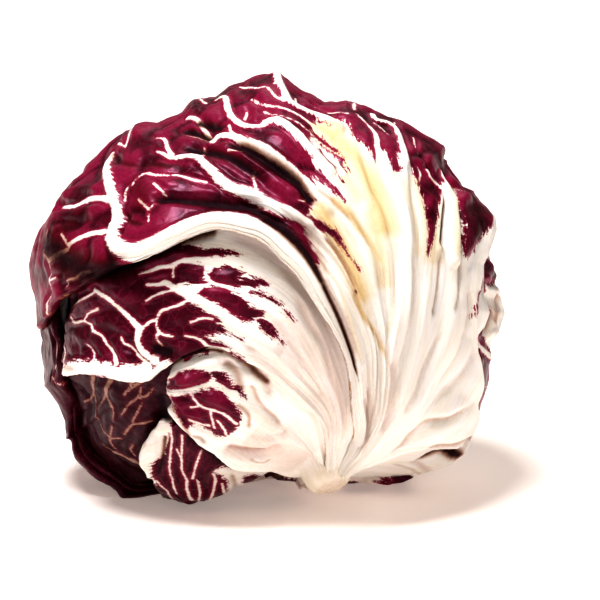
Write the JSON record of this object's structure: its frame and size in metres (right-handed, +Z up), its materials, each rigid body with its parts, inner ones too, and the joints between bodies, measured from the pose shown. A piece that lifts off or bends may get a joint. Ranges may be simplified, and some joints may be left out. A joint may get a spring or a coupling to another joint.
{
  "type": "radicchio head",
  "caption": "Round red and white chicory head: wrapped, ribbed outer leaves, nested heart leaves and a short core, standing on a small flat spot.",
  "frame": {"origin": "centre of the footprint box, on the surface the head rests on", "axes": "+Z up; -Y faces the side that shows the stem end and the rolled leaf rib; +X to that side's right"},
  "size_m": [0.1278, 0.1122, 0.1147],
  "materials": {
    "red_leaf": "satin",
    "heart_leaf": "satin",
    "core": "satin"
  },
  "bodies": {
    "root": {"leaf_front_wrapper": "red_leaf", "leaf_middle_wrapper": "red_leaf", "leaf_lower_wrapper": "red_leaf", "leaf_bottom_wrapper": "red_leaf", "leaf_pocket_wrapper": "red_leaf", "leaf_left_wrapper": "red_leaf", "leaf_under_wrapper": "red_leaf", "leaf_right_roll": "red_leaf", "leaf_right_wrapper": "red_leaf", "leaf_back_wrapper": "red_leaf", "leaf_heart_1": "heart_leaf", "leaf_heart_2": "heart_leaf", "leaf_heart_3": "heart_leaf", "leaf_heart_4": "heart_leaf", "leaf_heart_5": "heart_leaf", "leaf_heart_6": "heart_leaf", "leaf_heart_7": "heart_leaf", "leaf_heart_8": "heart_leaf", "leaf_heart_9": "heart_leaf", "core": "core"}
  },
  "joints": []
}
